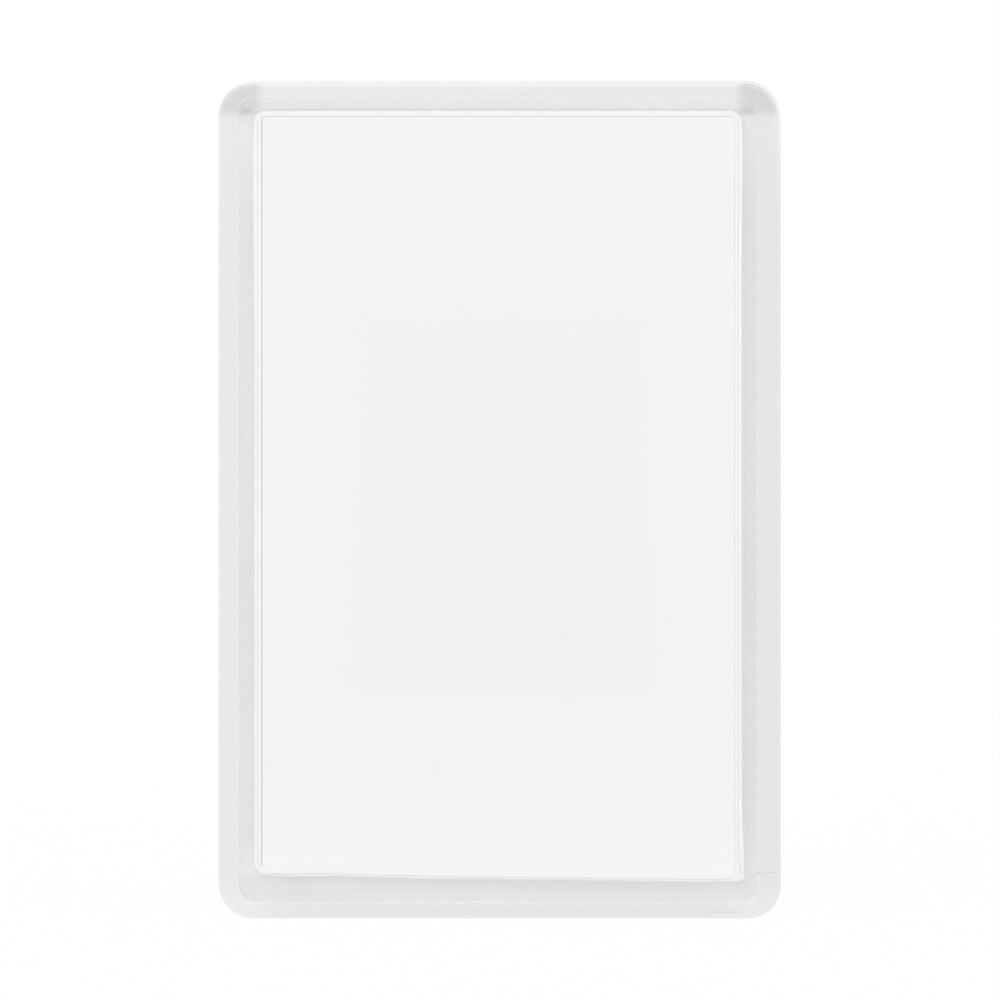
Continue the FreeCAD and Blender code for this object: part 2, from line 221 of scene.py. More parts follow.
PLATFORM_STOPS = (
    row(-24.5, 1.4, 36),
    row(-34.0, 6.0, 12)
    + [-40.8, -40.2, -39.4, -38.7, -38.0, -37.0, 39.0, 41.0]
    + [end + shift for end in SLIT_SPAN for shift in (-SLIT_END, SLIT_END)],
    row(-24.0, 6.0, 9),
    row(-36.0, 6.0, 13) + [39.0, 41.0],
)
NOTCH_STOPS = row(-4.52, 0.452, 21)

# Outlines


def rectangle(left, right, bottom, top):
    """Corners in anticlockwise order from the lower left one."""
    return [Vector(corner) for corner in ((left, bottom), (right, bottom), (right, top), (left, top))]


def at_corner(corners, i):
    """The direction back along an outline, the one into it, and half the angle of the corner."""
    back = (corners[i - 1] - corners[i]).normalized()
    ahead = (corners[(i + 1) % len(corners)] - corners[i]).normalized()
    return back, (back + ahead).normalized(), back.angle(ahead) / 2


def inset_corners(corners, inset):
    """The corners of a closed outline after its sides have moved inwards."""
    moved = []
    for i, corner in enumerate(corners):
        _, inwards, half = at_corner(corners, i)
        moved.append(corner + inwards * (inset / math.sin(half)))
    return moved


def side_points(start, end, stops):
    """Points on a straight side at the given places along it."""
    along = 0 if abs(end.x - start.x) > abs(end.y - start.y) else 1
    length = end[along] - start[along]
    return [start.lerp(end, share) for share in sorted((stop - start[along]) / length for stop in stops)]


def outline(corners, radii, inset=0.0, stops=((), (), (), ())):
    """Points of an outline with rounded corners, anticlockwise from the lower left corner.

    The sides move inwards by inset. Stops are places along the lower, right, upper and left side.
    """
    arcs = []
    inner = inset_corners(corners, inset)
    for i, corner in enumerate(inner):
        back, inwards, half = at_corner(inner, i)
        radius = max(radii[i] - inset, LEAST_RADIUS)
        centre = corner + inwards * (radius / math.sin(half))
        first = corner + back * (radius / math.tan(half)) - centre
        turn = math.pi - 2 * half
        start = math.atan2(first.y, first.x)
        angles = [start + turn * step / ARC_STEPS for step in range(ARC_STEPS + 1)]
        arcs.append([centre + Vector((math.cos(a), math.sin(a))) * radius for a in angles])
    points = []
    for i, arc in enumerate(arcs):
        points += arc
        points += side_points(arc[-1], arcs[(i + 1) % len(arcs)][0], stops[i])
    return points


def circle(centre, radius, steps):
    """Points of a circle."""
    angles = [2 * math.pi * step / steps for step in range(steps)]
    return [centre + Vector((math.cos(a), math.sin(a))) * radius for a in angles]


def push(points, spans, distance):
    """Moves the points of straight sides outwards where they lie in a side's spans."""
    for side, places in spans.items():
        across = 0 if side in ("left", "right") else 1
        sign = 1 if side in ("right", "top") else -1
        edge = max(sign * point[across] for point in points)
        for point in points:
            inside = any(a - SAME_PLACE <= point[1 - across] <= b + SAME_PLACE for a, b in places)
            if inside and sign * point[across] > edge - SAME_PLACE:
                point[across] += sign * distance
    return points


def snap_spans(half):
    """Where the snaps lie along each side."""
    return {side: [(m - half, m + half) for m in middles] for side, middles in SNAP_MIDDLES.items()}


def snap_stops(half, end, extra):
    """Places along the four sides where the snaps begin and end, each with its sloping end."""
    stops = []
    for side, more in zip(("bottom", "right", "top", "left"), extra):
        places = list(more)
        for middle in SNAP_MIDDLES[side]:
            places += [middle - half - end, middle - half, middle + half, middle + half + end]
        stops.append(places)
    return stops


def read_table(table, place, soft=False):
    """The value at a place, between the places of a table, in straight lines or in soft waves."""
    if place <= table[0][0]:
        return table[0][1]
    for (x0, y0), (x1, y1) in zip(table, table[1:]):
        if place <= x1:
            share = (place - x0) / (x1 - x0)
            if soft:
                share = share * share * (3 - 2 * share)
            return y0 + (y1 - y0) * share
    return table[-1][1]


def platform_outline(left, right, top, rise, radii, inset=0.0):
    """An outline on the platform, whose lower side follows the platform's lower edge."""
    first, last = LOWER_EDGE[0][1] + rise, LOWER_EDGE[-1][1] + rise
    corners = [Vector(c) for c in ((left, first), (right, last), (right, top), (left, top))]
    points = outline(corners, radii, inset, PLATFORM_STOPS)
    slope = (last - first) / (right - left)
    for point in points:
        straight = first + slope * (point.x - left) + inset
        if point.y < straight + LOWER_EDGE_REACH:
            point.y += read_table(LOWER_EDGE, point.x, soft=True) + rise + inset - straight
    return points


def bulged(points):
    """Moves the points of the platform's two sides out by their bulge."""
    for point in points:
        share = (abs(point.x) - BULGE_SPAN[0]) / (BULGE_SPAN[1] - BULGE_SPAN[0])
        share = min(1.0, max(0.0, share))
        if point.x < 0:
            point.x -= share * read_table(LEFT_BULGE, point.y)
        else:
            point.x += share * read_table(RIGHT_BULGE, point.y)
    return points


def notched(points):
    """Moves the flange's lower edge up to the half-moon notch."""
    for point in points:
        if abs(point.x) < NOTCH_RADIUS:
            point.y = max(point.y, NOTCH_MIDDLE + math.sqrt(NOTCH_RADIUS ** 2 - point.x ** 2))
    return points


# Depth


def put(point, depth):
    """The place in space, in metres, of a point seen from the front."""
    return Vector((point.x, -depth, point.y)) * MM


def at_depth(points, depth):
    return [put(point, depth) for point in points]


def front_round(size, front):
    """Insets and depths of a rounded edge, from a front face into the side."""
    radius, steps = size
    turns = [math.pi / 2 * step / steps for step in range(steps + 1)]
    return [(radius * (1 - math.sin(t)), front - radius * (1 - math.cos(t))) for t in turns]


def rear_round(size, rear):
    """Insets and depths of a rounded edge, from the side into a rear face."""
    radius, steps = size
    turns = [math.pi / 2 * step / steps for step in range(steps + 1)]
    return [(radius * (1 - math.cos(t)), rear + radius * (1 - math.sin(t))) for t in turns]


def low_step(depths, slope, height):
    """Depths and heights of a low step along a wall, from one end to the other."""
    first, last = depths
    ahead = math.copysign(slope, last - first)
    return [(first - ahead, 0.0), (first, height), (last, height), (last + ahead, 0.0)]


def cut_in(points, depth, cut, inside):
    """Points at a depth, cut in further where a test of the point holds."""
    return [put(point, depth - (cut if inside(point) else 0.0)) for point in points]


def on_line(point):
    return LINE_SPAN[0] < point.y < LINE_SPAN[1]


def on_slit(point):
    return point.x > PLATFORM_RIGHT - SLIT_REACH and SLIT_SPAN[0] < point.y < SLIT_SPAN[1]


def on_top(point):
    return point.y > PLATFORM_TOP - TOP_REACH


# Meshes


def skin(mesh, rings):
    """Joins rings of equally many points by faces, and returns their vertices."""
    loops = [[mesh.verts.new(point) for point in ring] for ring in rings]
    for near, far in zip(loops, loops[1:]):
        for i in range(len(near)):
            mesh.faces.new((near[i - 1], near[i], far[i], far[i - 1]))
    return loops


def closed_skin(mesh, rings):
    """Joins rings by faces, and closes the first and the last one."""
    loops = skin(mesh, rings)
    mesh.faces.new(loops[0])
    mesh.faces.new(loops[-1])
    return loops


def faces_of(vertices):
    return {face for vertex in vertices for face in vertex.link_faces}


def fill_between(mesh, outer, *holes):
    """A flat face between an outer loop of vertices and the loops of its holes."""
    edges = []
    for loop in (outer, *holes):
        edges += [mesh.edges.get((loop[i - 1], loop[i])) for i in range(len(loop))]
    bmesh.ops.triangle_fill(mesh, use_beauty=True, use_dissolve=False, edges=edges)


def piece(name, mesh, material, body, replaced, voids=()):
    """Makes an object of a closed mesh, with smooth rounds and crisp edges.

    Voids are the faces of bubbles and cracks inside it, which look inwards.
    """
    bmesh.ops.recalc_face_normals(mesh, faces=mesh.faces)
    bmesh.ops.reverse_faces(mesh, faces=list(voids))
    data = bpy.data.meshes.new(name)
    mesh.to_mesh(data)
    mesh.free()
    data.shade_smooth()
    data.set_sharp_from_angle(angle=SMOOTH_BELOW)
    data.materials.append(material)
    made = bpy.data.objects.new(name, data)
    bpy.context.scene.collection.objects.link(made)
    normals = made.modifiers.new("even_normals", "WEIGHTED_NORMAL")
    normals.keep_sharp = True
    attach(made, body)
    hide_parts(replaced)


# Shader nodes

VALUE = "NodeSocketFloat"
VECTOR = "NodeSocketVector"


def feed(tree, socket, value):
    """Links a socket to another one, or sets its value."""
    if isinstance(value, bpy.types.NodeSocket):
        tree.links.new(value, socket)
    else:
        socket.default_value = value


def add(tree, kind, inputs=None, **settings):
    """Adds a shader node; its inputs are sockets to link or values to set."""
    made = tree.nodes.new("ShaderNode" + kind)
    for name, value in settings.items():
        setattr(made, name, value)
    for name, value in (inputs or {}).items():
        feed(tree, made.inputs[name], value)
    return made


def maths(tree, operation, *values, clamped=False):
    made = add(tree, "Math", dict(enumerate(values)), operation=operation, use_clamp=clamped)
    return made.outputs[0]


def product(tree, first, *others):
    """The product of two or more values."""
    for other in others:
        first = maths(tree, "MULTIPLY", first, other)
    return first


def away_from(tree, value, middle):
    """How far a value is from a middle, to either side."""
    return maths(tree, "ABSOLUTE", maths(tree, "SUBTRACT", value, middle))


def vectors(tree, operation, *values):
    return add(tree, "VectorMath", dict(enumerate(values)), operation=operation).outputs[0]


def length(tree, vector):
    return add(tree, "VectorMath", {0: vector}, operation="LENGTH").outputs["Value"]


def ramp(tree, value, low, high, to_low=0.0, to_high=1.0):
    """A soft step of a value from low to high."""
    inputs = {"Value": value, "From Min": low, "From Max": high, "To Min": to_low, "To Max": to_high}
    return add(tree, "MapRange", inputs, interpolation_type="SMOOTHSTEP").outputs[0]


def rising(tree, value, span):
    """A mask that holds beyond a span."""
    return ramp(tree, value, *span)


def falling(tree, value, span):
    """A mask that holds up to a span."""
    return ramp(tree, value, *span, 1.0, 0.0)


def grey(level):
    return (level, level, level, 1.0)


def mix(tree, kind, share, first, second, **settings):
    """Goes from a first value or colour to a second one by a share."""
    made = add(tree, "Mix", data_type=kind, **settings)
    for socket, value in zip([s for s in made.inputs if s.enabled], (share, first, second)):
        feed(tree, socket, value)
    return next(s for s in made.outputs if s.enabled)


def mix_colours(tree, share, first, second):
    return mix(tree, "RGBA", share, first, second)


def mix_values(tree, share, first, second):
    return mix(tree, "FLOAT", share, first, second)


def shade(tree, value, mask, tint):
    """Multiplies a value by a tint where a mask holds."""
    return product(tree, value, mix_values(tree, mask, 1.0, tint))


# Effects that the materials share

SCRATCH_WIDTH = 0.1
PATCH_SCALE = 0.37
PATCH_SPAN = (0.52, 0.62)
LEAST_SPECK = 0.03
SPECK_SPREAD = 0.08


def new_group(name, inputs, output):
    """An empty node group with its named sockets, and its input and output node."""
    tree = bpy.data.node_groups.new(name, "ShaderNodeTree")
    for socket, (kind, value) in inputs.items():
        made = tree.interface.new_socket(socket, in_out="INPUT", socket_type=kind)
        if value is not None:
            made.default_value = value
    tree.interface.new_socket(output, in_out="OUTPUT", socket_type=VALUE)
    return tree, tree.nodes.new("NodeGroupInput").outputs, tree.nodes.new("NodeGroupOutput").inputs


def make_grain():
    """Fine even grain, as a value around a half."""
    sockets = {"Place": (VECTOR, None), "Size": (VALUE, 0.1), "Stretch": (VECTOR, (1, 1, 1))}
    tree, given, result = new_group("grain", sockets, "Grain")
    scaled = vectors(tree, "MULTIPLY", given["Place"], given["Stretch"])
    scale = maths(tree, "DIVIDE", 1.0, given["Size"])
    noise = add(tree, "TexNoise", {"Vector": scaled, "Scale": scale, "Detail": 3.0, "Roughness": 0.6})
    tree.links.new(noise.outputs[0], result["Grain"])
    return tree


def make_scratches():
    """Sparse hairline scratches along one direction, as a mask."""
    sockets = {
        "Place": (VECTOR, None),
        "Stretch": (VECTOR, (1, 1, 1)),
        "Size": (VALUE, 2.0),
        "Share": (VALUE, 0.1),
    }
    tree, given, result = new_group("scratches", sockets, "Mask")
    scaled = vectors(tree, "MULTIPLY", given["Place"], given["Stretch"])
    scale = maths(tree, "DIVIDE", 1.0, given["Size"])
    line = add(tree, "TexNoise", {"Vector": scaled, "Scale": scale, "Detail": 0.0})
    away = away_from(tree, line.outputs[0], 0.5)
    width = product(tree, given["Share"], SCRATCH_WIDTH)
    thin = maths(tree, "SUBTRACT", 1.0, maths(tree, "DIVIDE", away, width), clamped=True)
    patch_scale = product(tree, scale, PATCH_SCALE)
    patch = add(tree, "TexNoise", {"Vector": given["Place"], "Scale": patch_scale})
    where = rising(tree, patch.outputs[0], PATCH_SPAN)
    tree.links.new(product(tree, thin, where), result["Mask"])
    return tree


def make_specks():
    """Small round specks of dust, as a mask."""
    sockets = {"Place": (VECTOR, None), "Spacing": (VALUE, 1.0), "Share": (VALUE, 0.2)}
    tree, given, result = new_group("specks", sockets, "Mask")
    scale = maths(tree, "DIVIDE", 1.0, given["Spacing"])
    cells = add(tree, "TexVoronoi", {"Vector": given["Place"], "Scale": scale})
    chance = add(tree, "SeparateColor", {0: cells.outputs["Color"]})
    present = maths(tree, "LESS_THAN", chance.outputs[0], given["Share"])
    size = maths(tree, "MULTIPLY_ADD", chance.outputs[1], SPECK_SPREAD, LEAST_SPECK)
    from_middle = maths(tree, "DIVIDE", cells.outputs["Distance"], size)
    spot = maths(tree, "SUBTRACT", 1.0, from_middle, clamped=True)
    tree.links.new(product(tree, spot, present), result["Mask"])
    return tree


GRAIN = make_grain()
SCRATCHES = make_scratches()
SPECKS = make_specks()


def use(tree, group, **inputs):
    """Places a shared effect in a material with its own values, and returns its output."""
    return add(tree, "Group", inputs, node_tree=group).outputs[0]


def new_material(name):
    """A material with its Principled shader, and the place on the piece in millimetres."""
    material = bpy.data.materials.new(name)
    material.use_nodes = True
    tree = material.node_tree
    shader = next(node for node in tree.nodes if node.type == "BSDF_PRINCIPLED")
    corner = add(tree, "TexCoord").outputs["Object"]
    place = add(tree, "VectorMath", {0: corner, "Scale": 1 / MM}, operation="SCALE").outputs[0]
    return material, tree, shader, place


def finish_with(tree, share, first, second):
    """Mixes two shaders by a share and gives the mixture to the material's surface."""
    out = next(node for node in tree.nodes if node.type == "OUTPUT_MATERIAL")
    mixed = add(tree, "MixShader", {0: share, 1: first.outputs[0], 2: second.outputs[0]})
    tree.links.new(mixed.outputs[0], out.inputs["Surface"])


def bump(tree, shader, height, depth):
    """Lets a height in millimetres, from none to full, tilt the shader's normal."""
    made = add(tree, "Bump", {"Height": height, "Distance": depth * MM})
    tree.links.new(made.outputs[0], shader.inputs["Normal"])


# Clear plastic

# A tint of 1 lets all light through, and of two tints the left one comes first. Two places are
# where a mask starts and ends, measured from the frame's middle or past an outline. X runs to
# the right, Y to the rear and Z up. EDGE_STARTS and EDGE_ENDS are for the middle and the sides.

PLATE_TINT = 0.995
# The thick walls pass less light; their step from left to right is painted shade
WALL_TINTS = (0.816, 0.802)
WALL_START = (-0.12, 0.0)

# Painted shade on the side walls, lifted by painted light towards their ends
SIDE_WALL_SHADES = (0.984, 0.975)
SIDE_WALL_ENDS = (-30.0, 30.0)
SIDE_WALL_SPAN = (26.0, 30.0)
END_PAINTED_LIGHT = 0.008
END_SPAN = (26.0, 42.0)

STREAK_TINT = 0.966
STREAK_HEIGHT = -46.93
STREAK_REACH = (0.1, 0.75)
STREAK_ENDS = (24.0, 28.0)

# Painted light in a patch by the gate
GATE_PAINTED_LIGHT = 1.018
GATE_GLOW_MIDDLE = 0.3
GATE_GLOW_REACH = (0.5, 4.0)
GATE_GLOW_FOOT = (44.0, 44.5)

# Painted light in the lower corners of the walls
LOWER_CORNER_PAINTED_LIGHT = 1.035
LOWER_CORNER_SIDES = (25.0, 30.0)
LOWER_CORNER_TOP = (-46.0, -43.0)

# Painted shade in the two upper corners, and a darker painted pool of shade in each
CORNER_PAINTED_SHADE = 0.7
CORNER_MIDDLE = 0.17
CORNER_SIDES = (26.5, 28.1)
CORNER_FOOT = (43.1, 44.6)
CORNER_REAR = (-5.4, -4.8)

POOL_PAINTED_SHADE = 0.73
POOL_MIDDLE = -0.14
POOL_ASIDE = 28.4
POOL_HEIGHT = 44.1
POOL_SCALES = (0.65, 1.4)

# A painted highlight along the outer edge, strongest at the top
EDGE_PAINTED_HIGHLIGHT = 0.99
EDGE_STARTS = (-0.57, -0.52)
EDGE_ENDS = (-0.36, -0.38)
EDGE_SIDES = (25.0, 30.0)
EDGE_FOOT = (34.0, 46.0)
EDGE_LEFT_END = (-31.5, -28.0)
EDGE_LEFT_SHARE = 0.25
EDGE_LEAST_SHARE = 0.07

# Painted shade on the walls of the hairline cracks
CRACK_PAINTED_SHADE = 0.84
CRACK_REACH = (0.09, 0.11)
CRACK_MARGIN = (-0.72, -0.66)

CLEAR_ROUGHNESS = 0.012
SMUDGE_ROUGHNESS = 0.02
SMUDGE_SPAN = (0.5, 0.75)
SCUFF_ROUGHNESS = 0.05
WAVE_HEIGHT = 0.02
PLASTIC_IOR = 1.5
SHADOW_TINT = 0.985
INNER_REFLECTIONS = 2


def past_outline(tree, place, edges, radius):
    """How far outside a rounded outline a place lies; inside it, only near the outline."""
    left, right, bottom, top = edges
    middle = ((left + right) / 2, 0.0, (bottom + top) / 2)
    half = ((right - left) / 2 - radius, 0.0, (top - bottom) / 2 - radius)
    folded = vectors(tree, "ABSOLUTE", vectors(tree, "SUBTRACT", place, middle))
    past = vectors(tree, "SUBTRACT", folded, half)
    past = vectors(tree, "MAXIMUM", past, (0.0, 0.0, 0.0))
    past = vectors(tree, "MULTIPLY", past, (1.0, 0.0, 1.0))
    return maths(tree, "SUBTRACT", length(tree, past), radius)


def wall_tint(tree, parts, aside):
    """Tint of the four walls, which pass less light, with painted shade that greys them at the sides,
    more so to the right.

    Painted light makes the lower corners and a patch by the gate lighter, and a streak in the lower wall
    is darker.
    """
    left, right = COVER_EDGES[:2]
    tint = ramp(tree, parts["X"], left, right, *WALL_TINTS)
    side_tint = ramp(tree, parts["X"], *SIDE_WALL_ENDS, *SIDE_WALL_SHADES)
    to_ends = maths(tree, "ABSOLUTE", parts["Z"])
    side_tint = maths(tree, "ADD", side_tint, ramp(tree, to_ends, *END_SPAN, 0.0, END_PAINTED_LIGHT))
    tint = shade(tree, tint, rising(tree, aside, SIDE_WALL_SPAN), side_tint)

    from_streak = away_from(tree, parts["Z"], STREAK_HEIGHT)
    streak = product(tree, falling(tree, from_streak, STREAK_REACH), falling(tree, aside, STREAK_ENDS))
    tint = shade(tree, tint, streak, STREAK_TINT)

    from_gate = away_from(tree, parts["X"], GATE_GLOW_MIDDLE)
    above = rising(tree, parts["Z"], GATE_GLOW_FOOT)
    glow = product(tree, falling(tree, from_gate, GATE_GLOW_REACH), above)
    tint = shade(tree, tint, glow, GATE_PAINTED_LIGHT)

    # Painted light in the lower corners
    low_down = falling(tree, parts["Z"], LOWER_CORNER_TOP)
    lower_corner = product(tree, rising(tree, aside, LOWER_CORNER_SIDES), low_down)
    return shade(tree, tint, lower_corner, LOWER_CORNER_PAINTED_LIGHT)


def shade_upper_corners(tree, tint, parts):
    """Paints shade into the two upper corners behind the front face, with a darker painted pool of shade
    in each.
    """
    front = falling(tree, parts["Y"], CORNER_REAR)
    sideways = away_from(tree, parts["X"], CORNER_MIDDLE)
    above = rising(tree, parts["Z"], CORNER_FOOT)
    corner = product(tree, rising(tree, sideways, CORNER_SIDES), above, front)
    tint = shade(tree, tint, corner, CORNER_PAINTED_SHADE)

    wide, high = POOL_SCALES
    sideways = away_from(tree, parts["X"], POOL_MIDDLE)
    across = maths(tree, "MULTIPLY_ADD", sideways, wide, -wide * POOL_ASIDE)
    upwards = maths(tree, "MULTIPLY_ADD", parts["Z"], high, -high * POOL_HEIGHT)
    squares = maths(tree, "ADD", product(tree, across, across), product(tree, upwards, upwards))
    pool = ramp(tree, maths(tree, "SQRT", squares), 0.0, 1.0, POOL_PAINTED_SHADE, 1.0)
    return shade(tree, tint, front, pool)


def light_edge(tree, tint, parts, aside, from_edge):
    """Paints a highlight along the outer edge: fully at the top, and only a little everywhere else."""
    side = rising(tree, aside, EDGE_SIDES)
    start = mix_values(tree, side, *EDGE_STARTS)
    end = mix_values(tree, side, *EDGE_ENDS)
    edge = ramp(tree, from_edge, start, end)
    from_left = ramp(tree, parts["X"], *EDGE_LEFT_END, EDGE_LEFT_SHARE, 1.0)
    strength = product(tree, rising(tree, parts["Z"], EDGE_FOOT), from_left)
    edge = product(tree, edge, maths(tree, "MAXIMUM", strength, EDGE_LEAST_SHARE))
    return mix_values(tree, edge, tint, EDGE_PAINTED_HIGHLIGHT)


def clear_tint(tree, place):
    """The clear plastic's colour: it passes nearly all light in the plate and less in the walls, with
    painted light and shade in places.

    The walls of the hairline cracks carry a painted shade.
    """
    parts = add(tree, "SeparateXYZ", {0: place}).outputs
    aside = maths(tree, "ABSOLUTE", parts["X"])
    past_cavity = past_outline(tree, place, CAVITY_EDGES, CAVITY_RADIUS)
    from_edge = past_outline(tree, place, COVER_EDGES, COVER_RADII[2])
    walls = wall_tint(tree, parts, aside)
    tint = mix_values(tree, rising(tree, past_cavity, WALL_START), PLATE_TINT, walls)
    tint = shade_upper_corners(tree, tint, parts)
    tint = light_edge(tree, tint, parts, aside, from_edge)
    from_cracks = away_from(tree, parts["Y"], -CRACK_DEPTH)
    inside = falling(tree, from_edge, CRACK_MARGIN)
    crack_shade = product(tree, falling(tree, from_cracks, CRACK_REACH), inside)
    return shade(tree, tint, crack_shade, CRACK_PAINTED_SHADE)


def make_clear_plastic():
    """Clear moulded plastic: lamps shine through it, its thick walls look a little greyer, and painted
    light and shade lie in its colour.

    Light that is reflected inside it several times passes straight on, so no edge turns black.
    """
    material, tree, shader, place = new_material("clear_plastic")
    tree.links.new(clear_tint(tree, place), shader.inputs["Base Color"])

    scuffs = use(tree, SCRATCHES, Place=place, Stretch=(3.0, 1.0, 0.25), Size=2.5, Share=0.12)
    smudges = use(tree, GRAIN, Place=place, Size=9.0, Stretch=(1.0, 1.0, 0.6))
    smudged = rising(tree, smudges, SMUDGE_SPAN)
    roughness = maths(tree, "MULTIPLY_ADD", smudged, SMUDGE_ROUGHNESS, CLEAR_ROUGHNESS)
    roughness = maths(tree, "MULTIPLY_ADD", scuffs, SCUFF_ROUGHNESS, roughness)
    tree.links.new(roughness, shader.inputs["Roughness"])
    waves = use(tree, GRAIN, Place=place, Size=14.0)
    bump(tree, shader, waves, WAVE_HEIGHT)
    shader.inputs["IOR"].default_value = PLASTIC_IOR
    shader.inputs["Transmission Weight"].default_value = 1.0

    path = add(tree, "LightPath").outputs
    lets_through = maths(tree, "MAXIMUM", path["Is Shadow Ray"], path["Is Diffuse Ray"])
    guided = maths(tree, "GREATER_THAN", path["Glossy Depth"], INNER_REFLECTIONS - 0.5)
    lets_through = maths(tree, "MAXIMUM", lets_through, guided)
    through = add(tree, "BsdfTransparent", {"Color": grey(SHADOW_TINT)})
    finish_with(tree, lets_through, shader, through)
    return material


# White card

# Levels are shades of grey. Of two tints, the one for the lower end or for thin fibres is first.

CARD_LEVEL = 0.922
# A painted shade where the magnet lies behind the card
MAGNET_SHADE_LEVEL = 0.898
MAGNET_MIDDLE = 0.5
MAGNET_SIDES = (14.0, 21.0)
MAGNET_ENDS = (19.5, 24.5)
# Painted light makes the card lighter towards its lower end
CARD_FOOT = (-45.0, -30.0)
CARD_FOOT_PAINTED_LIGHT = (1.05, 1.002)
FIBRE_SPAN = (0.3, 0.7)
FIBRE_TINTS = (1.002, 0.998)
FIBRE_HEIGHT = 0.004
CARD_ROUGHNESS = 0.55


def make_white_card():
    """Blank white card, with a faint painted shade where the dark magnet lies behind it, and painted
    light towards its lower end.
    """
    material, tree, shader, place = new_material("white_card")
    parts = add(tree, "SeparateXYZ", {0: place}).outputs
    across = falling(tree, away_from(tree, parts["X"], MAGNET_MIDDLE), MAGNET_SIDES)
    upwards = falling(tree, maths(tree, "ABSOLUTE", parts["Z"]), MAGNET_ENDS)
    magnet = product(tree, across, upwards)
    fibres = use(tree, GRAIN, Place=place, Size=0.35, Stretch=(1.0, 1.0, 0.5))
    paper = mix_values(tree, magnet, CARD_LEVEL, MAGNET_SHADE_LEVEL)
    paper = product(tree, paper, ramp(tree, parts["Z"], *CARD_FOOT, *CARD_FOOT_PAINTED_LIGHT))
    paper = product(tree, paper, ramp(tree, fibres, *FIBRE_SPAN, *FIBRE_TINTS))
    tree.links.new(paper, shader.inputs["Base Color"])
    shader.inputs["Roughness"].default_value = CARD_ROUGHNESS
    bump(tree, shader, fibres, FIBRE_HEIGHT)
    return material


# White plastic

# Painted shade and painted light belong to the flange, as it is seen through the clear border.
# Of two shades, the one for the lower end comes first.

WHITE_LEVELS = (0.935, 0.92)
FLOW_SPAN = (0.35, 0.65)
# Painted shade and painted light on the flange
FLANGE_SHADES = (1.0, 0.90)
FLANGE_SPAN = (-45.0, -38.0)
LEFT_SHADE = 0.988
LEFT_SPAN = (-29.0, 29.0)
SIDE_SHADE = 0.96
SIDE_SPAN = (28.0, 29.4)
RIGHT_SHADE = 0.965
RIGHT_SIDE = (27.9, 28.9)
RIGHT_FOOT = (-38.0, -30.0)
RIGHT_TOP = (36.0, 42.0)
UPPER_END_SHADE = 1.045
UPPER_END_FOOT = (32.0, 41.6)
UPPER_END_TOP = (42.2, 43.5)
UPPER_END_SIDES = (27.0, 28.0)
LOWER_SHADES = (0.978, 1.04)
LOWER_SPAN = (-44.7, -43.6)
LOWER_TOP = (-42.0, -41.0)
LOWER_ENDS = (25.0, 28.0)
FLANGE_CORNER_SHADE = 0.94
FLANGE_CORNER_SIDES = (25.0, 28.5)
FLANGE_CORNER_TOP = (-44.2, -41.5)
LOWER_LEFT_SHADE = 0.965
LOWER_LEFT_END = (-25.0, -10.0)
LOWER_LEFT_TOP = (-43.8, -42.6)
FLANGE_REACH = (FLANGE_FRONT, FLANGE_FRONT + 0.8)
SPECK_LEVEL = 0.86
WHITE_ROUGHNESS = 0.28
GRAIN_ROUGHNESS = 0.16
GRAIN_HEIGHT = 0.006


def flange_shade(tree, parts):
    """Painted shade on the flange: greyer towards its top, its sides and its lower corners.

    Painted light makes the upper ends of its sides lighter, and the part just below the platform too.
    """
    aside = maths(tree, "ABSOLUTE", parts["X"])
    result = ramp(tree, parts["Z"], *FLANGE_SPAN, *FLANGE_SHADES)
    result = product(tree, result, ramp(tree, parts["X"], *LEFT_SPAN, LEFT_SHADE, 1.0))
    result = product(tree, result, ramp(tree, aside, *SIDE_SPAN, 1.0, SIDE_SHADE))

    between = product(tree, rising(tree, parts["Z"], RIGHT_FOOT), falling(tree, parts["Z"], RIGHT_TOP))
    right_side = product(tree, rising(tree, parts["X"], RIGHT_SIDE), between)
    result = shade(tree, result, right_side, RIGHT_SHADE)

    upper_foot = rising(tree, parts["Z"], UPPER_END_FOOT)
    upper_top = falling(tree, parts["Z"], UPPER_END_TOP)
    upper_end = product(tree, upper_foot, upper_top, rising(tree, aside, UPPER_END_SIDES))
    result = shade(tree, result, upper_end, UPPER_END_SHADE)

    below = product(tree, falling(tree, aside, LOWER_ENDS), falling(tree, parts["Z"], LOWER_TOP))
    result = shade(tree, result, below, ramp(tree, parts["Z"], *LOWER_SPAN, *LOWER_SHADES))

    corner_top = falling(tree, parts["Z"], FLANGE_CORNER_TOP)
    corner = product(tree, rising(tree, aside, FLANGE_CORNER_SIDES), corner_top)
    result = shade(tree, result, corner, FLANGE_CORNER_SHADE)

    left_top = falling(tree, parts["Z"], LOWER_LEFT_TOP)
    lower_left = product(tree, falling(tree, parts["X"], LOWER_LEFT_END), left_top)
    return shade(tree, result, lower_left, LOWER_LEFT_SHADE)


